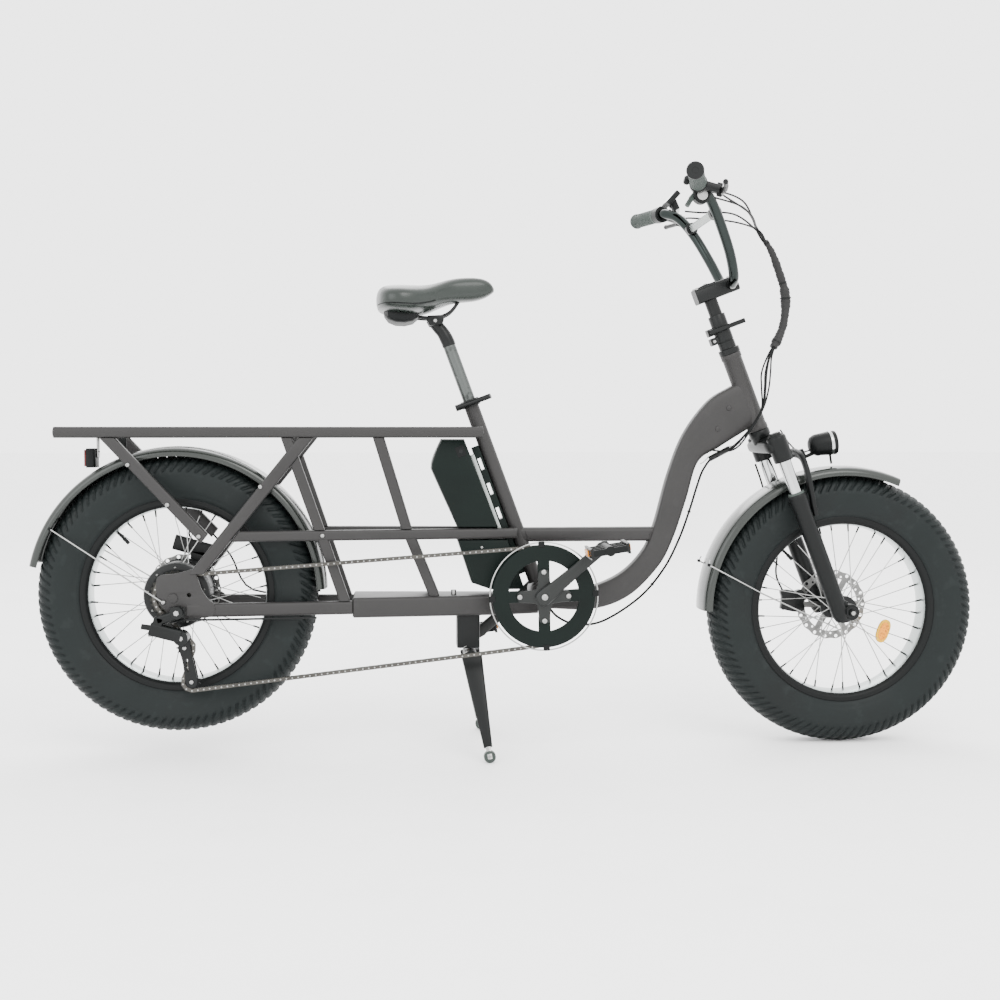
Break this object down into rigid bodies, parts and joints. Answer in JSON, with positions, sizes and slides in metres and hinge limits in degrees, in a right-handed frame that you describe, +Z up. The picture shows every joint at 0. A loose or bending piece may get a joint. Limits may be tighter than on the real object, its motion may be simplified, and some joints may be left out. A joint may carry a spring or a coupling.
{
  "type": "cargo bicycle",
  "caption": "Long-tail cargo bicycle with fat tyres, rear cargo deck, hub motor, battery, centre stand and tall upright handlebar.",
  "frame": {"origin": "on the floor, under the middle of the bicycle's overall length and in its mid plane", "axes": "+X towards the front wheel, +Y to the rider's left, +Z up"},
  "size_m": [2.078, 0.6742, 1.2449],
  "materials": {
    "frame_paint": "satin",
    "black_metal": "satin",
    "fork_steel": "satin",
    "black_plastic": "matte",
    "tyre_rubber": "matte",
    "fender_gloss": "gloss",
    "silver": "satin",
    "saddle_vinyl": "satin",
    "grip_rubber": "matte"
  },
  "bodies": {
    "frame": {"head_tube": "frame_paint", "main_tube": "frame_paint", "mid_tube": "frame_paint", "seat_tube": "frame_paint", "lower_tube": "frame_paint", "chainstay_right": "frame_paint", "chainstay_left": "frame_paint", "deck_frame": "frame_paint", "mid_rail_right": "frame_paint", "mid_rail_left": "frame_paint", "long_strut_right": "frame_paint", "long_strut_left": "frame_paint", "rear_strut_right": "frame_paint", "rear_strut_left": "frame_paint", "front_strut_right": "frame_paint", "front_strut_left": "frame_paint", "seat_collar": "black_metal", "battery_base": "black_plastic", "rear_fender": "fender_gloss", "rear_light": "black_plastic", "chain": "silver", "derailleur_body": "black_metal", "cable_harness": "black_plastic"},
    "battery": {"battery_case": "black_plastic"},
    "collar_lever": {"seat_lever": "black_metal"},
    "saddle_and_post": {"seat_post": "silver", "saddle": "saddle_vinyl"},
    "steering": {"fork_crown": "fork_steel", "stem_post": "black_metal"},
    "quick_lever": {"post_lever": "black_metal"},
    "cockpit": {"stem": "black_metal", "handlebar": "black_metal", "grip_right": "grip_rubber", "grip_left": "grip_rubber", "display": "black_plastic", "control_right": "black_metal", "control_left": "black_metal"},
    "right_brake_lever": {"brake_lever_right": "black_metal"},
    "left_brake_lever": {"brake_lever_left": "black_metal"},
    "gear_lever": {"shift_lever": "black_plastic"},
    "fork_sliders": {"fork_lowers": "fork_steel", "front_fender": "fender_gloss", "headlight": "black_plastic"},
    "front_wheel": {"front_tyre": "tyre_rubber", "front_rim": "silver", "front_spokes": "silver", "front_hub": "black_metal"},
    "rear_wheel": {"rear_tyre": "tyre_rubber", "rear_rim": "silver", "rear_spokes": "silver", "hub_motor": "black_metal"},
    "sprockets": {"cassette": "silver"},
    "cranks": {"crankset": "black_metal", "chainring": "black_metal"},
    "right_pedal": {"pedal_right": "black_plastic"},
    "left_pedal": {"pedal_left": "black_plastic"},
    "derailleur_arm": {"derailleur_cage": "black_metal"},
    "upper_jockey": {"jockey_upper": "black_plastic"},
    "lower_jockey": {"jockey_lower": "black_plastic"},
    "stand": {"centre_stand": "black_metal"}
  },
  "joints": [
    {"name": "steering_turn", "type": "hinge", "parent": "frame", "child": "steering", "pos_m": [0.52652, 0, 0.76679], "axis": [-0.3584, 0, 0.9336], "range_deg": [-45, 45], "deforming": ["cable_harness"]},
    {"name": "stem_height", "type": "slide", "parent": "steering", "child": "cockpit", "axis": [-0.3584, 0, 0.9336], "range_m": [-0.012, 0.03], "deforming": ["cable_harness"]},
    {"name": "fork_travel", "type": "slide", "parent": "steering", "child": "fork_sliders", "axis": [-0.3584, 0, 0.9336], "range_m": [0, 0.045], "stiffness_N_per_m": 6000, "springref_m": -0.03},
    {"name": "front_wheel_spin", "type": "hinge", "parent": "fork_sliders", "child": "front_wheel", "pos_m": [0.74, 0, 0.3], "axis": [0, 1, 0], "continuous": true},
    {"name": "rear_wheel_spin", "type": "hinge", "parent": "frame", "child": "rear_wheel", "pos_m": [-0.724, 0, 0.345], "axis": [0, 1, 0], "continuous": true},
    {"name": "crank_spin", "type": "hinge", "parent": "frame", "child": "cranks", "pos_m": [0.062, 0, 0.343], "axis": [0, 1, 0], "continuous": true},
    {"name": "cassette_spin", "type": "hinge", "parent": "frame", "child": "sprockets", "pos_m": [-0.724, 0, 0.345], "axis": [0, 1, 0], "continuous": true},
    {"name": "pedal_right_spin", "type": "hinge", "parent": "cranks", "child": "right_pedal", "pos_m": [0.1884, -0.125, 0.44906], "axis": [0, 1, 0], "continuous": true},
    {"name": "pedal_left_spin", "type": "hinge", "parent": "cranks", "child": "left_pedal", "pos_m": [-0.0644, 0.125, 0.23694], "axis": [0, 1, 0], "continuous": true},
    {"name": "cage_swing", "type": "hinge", "parent": "frame", "child": "derailleur_arm", "pos_m": [-0.706, -0.0765, 0.262], "axis": [0, 1, 0], "range_deg": [-8, 10], "stiffness_Nm_per_rad": 0.5, "deforming": ["chain"]},
    {"name": "jockey_upper_spin", "type": "hinge", "parent": "derailleur_arm", "child": "upper_jockey", "pos_m": [-0.704, -0.0676, 0.236], "axis": [0, 1, 0], "continuous": true},
    {"name": "jockey_lower_spin", "type": "hinge", "parent": "derailleur_arm", "child": "lower_jockey", "pos_m": [-0.69, -0.0682, 0.163], "axis": [0, 1, 0], "continuous": true},
    {"name": "stand_fold", "type": "hinge", "parent": "frame", "child": "stand", "pos_m": [-0.092, 0, 0.203], "axis": [0, 1, 0], "range_deg": [0, 72]},
    {"name": "saddle_height", "type": "slide", "parent": "frame", "child": "saddle_and_post", "axis": [-0.3454, 0, 0.9385], "range_m": [-0.09, 0.08]},
    {"name": "battery_slide", "type": "slide", "parent": "frame", "child": "battery", "axis": [-0.3454, 0, 0.9385], "range_m": [0, 0.2]},
    {"name": "seat_lever_turn", "type": "hinge", "parent": "frame", "child": "collar_lever", "pos_m": [-0.11897, -0.018, 0.74789], "axis": [0.3454, 0, -0.9385], "range_deg": [0, 60]},
    {"name": "post_lever_turn", "type": "hinge", "parent": "steering", "child": "quick_lever", "pos_m": [0.44017, -0.0165, 0.9136], "axis": [0.3584, 0, -0.9336], "range_deg": [0, 100]},
    {"name": "brake_lever_right_pull", "type": "hinge", "parent": "cockpit", "child": "right_brake_lever", "pos_m": [0.41834, -0.20459, 1.19152], "axis": [-0.259, 0, -0.9659], "range_deg": [0, 12], "stiffness_Nm_per_rad": 0.8, "springref_deg": -4.58},
    {"name": "brake_lever_left_pull", "type": "hinge", "parent": "cockpit", "child": "left_brake_lever", "pos_m": [0.41834, 0.20459, 1.19152], "axis": [0.259, 0, 0.9659], "range_deg": [0, 12], "stiffness_Nm_per_rad": 0.8, "springref_deg": -4.58},
    {"name": "gear_lever_push", "type": "hinge", "parent": "cockpit", "child": "gear_lever", "pos_m": [0.36706, -0.1853, 1.18761], "axis": [-0.2624, -0.9647, 0.0232], "range_deg": [0, 30], "stiffness_Nm_per_rad": 0.6}
  ],
  "couplings": [
    {"joint": "cassette_spin", "follows": "crank_spin", "ratio": 2.3636},
    {"joint": "jockey_upper_spin", "follows": "crank_spin", "ratio": -5.32},
    {"joint": "jockey_lower_spin", "follows": "crank_spin", "ratio": 5.32}
  ]
}
